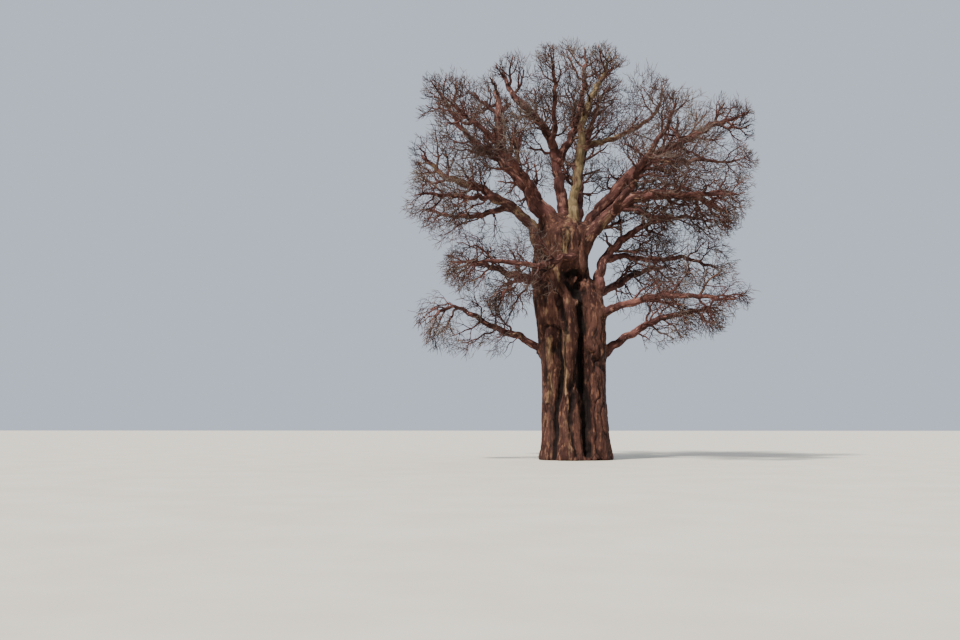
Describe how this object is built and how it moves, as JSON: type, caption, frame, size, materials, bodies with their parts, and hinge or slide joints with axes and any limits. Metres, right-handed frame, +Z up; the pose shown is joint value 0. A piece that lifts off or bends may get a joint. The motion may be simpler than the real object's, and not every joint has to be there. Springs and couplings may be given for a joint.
{
  "type": "baobab tree",
  "caption": "Whole bare baobab tree: a stout fluted trunk with a root flare, thick tapering boughs and open masses of leafless twigs.",
  "frame": {"origin": "middle of the flat cut under the trunk, at ground level", "axes": "+Z up the trunk, +X to the right and +Y away for a viewer who sees the tree as the picture does"},
  "size_m": [16.7186, 14.6555, 21.1024],
  "materials": {
    "trunk_bark": "folded red-brown bark with tan ribs and dark clefts, dull",
    "red_bark": "smooth red-brown bark with copper patches, dull sheen",
    "pale_bark": "tan and olive bark, dull",
    "twigs": "bare grey-brown twigs, matt"
  },
  "bodies": {
    "root": {"trunk": "trunk_bark", "bough_left_leader": "red_bark", "bough_centre_left": "red_bark", "bough_centre": "pale_bark", "bough_right_high": "red_bark", "bough_right_arm": "red_bark", "bough_left_arm": "red_bark", "bough_back_left": "red_bark", "bough_back_centre": "red_bark", "bough_back_right": "red_bark", "bough_right_stem": "red_bark", "bough_left_mid": "red_bark", "bough_left_low": "red_bark", "bough_right_low": "red_bark", "bough_right_mid": "red_bark", "bough_back_low_left": "red_bark", "bough_back_low_right": "red_bark", "bough_left_far": "red_bark", "bough_left_front": "red_bark", "bough_centre_red": "red_bark", "bough_centre_front": "red_bark", "bough_centre_right": "red_bark", "bough_right_long": "red_bark", "bough_right_front": "red_bark", "bough_right_front_low": "red_bark", "bough_right_back": "red_bark", "bough_back_high": "red_bark", "bough_left_front_low": "red_bark", "bough_left_back": "red_bark", "bough_right_out": "red_bark", "twigs_left_leader": "twigs", "twigs_centre_left": "twigs", "twigs_centre": "twigs", "twigs_right_high": "twigs", "twigs_right_arm": "twigs", "twigs_left_arm": "twigs", "twigs_back_left": "twigs", "twigs_back_centre": "twigs", "twigs_back_right": "twigs", "twigs_right_stem": "twigs", "twigs_left_mid": "twigs", "twigs_left_low": "twigs", "twigs_right_low": "twigs", "twigs_right_mid": "twigs", "twigs_back_low_left": "twigs", "twigs_back_low_right": "twigs", "twigs_left_far": "twigs", "twigs_left_front": "twigs", "twigs_centre_red": "twigs", "twigs_centre_front": "twigs", "twigs_centre_right": "twigs", "twigs_right_long": "twigs", "twigs_right_front": "twigs", "twigs_right_front_low": "twigs", "twigs_right_back": "twigs", "twigs_back_high": "twigs", "twigs_left_front_low": "twigs", "twigs_left_back": "twigs", "twigs_right_out": "twigs", "twigs_trunk_left": "twigs"}
  },
  "joints": []
}
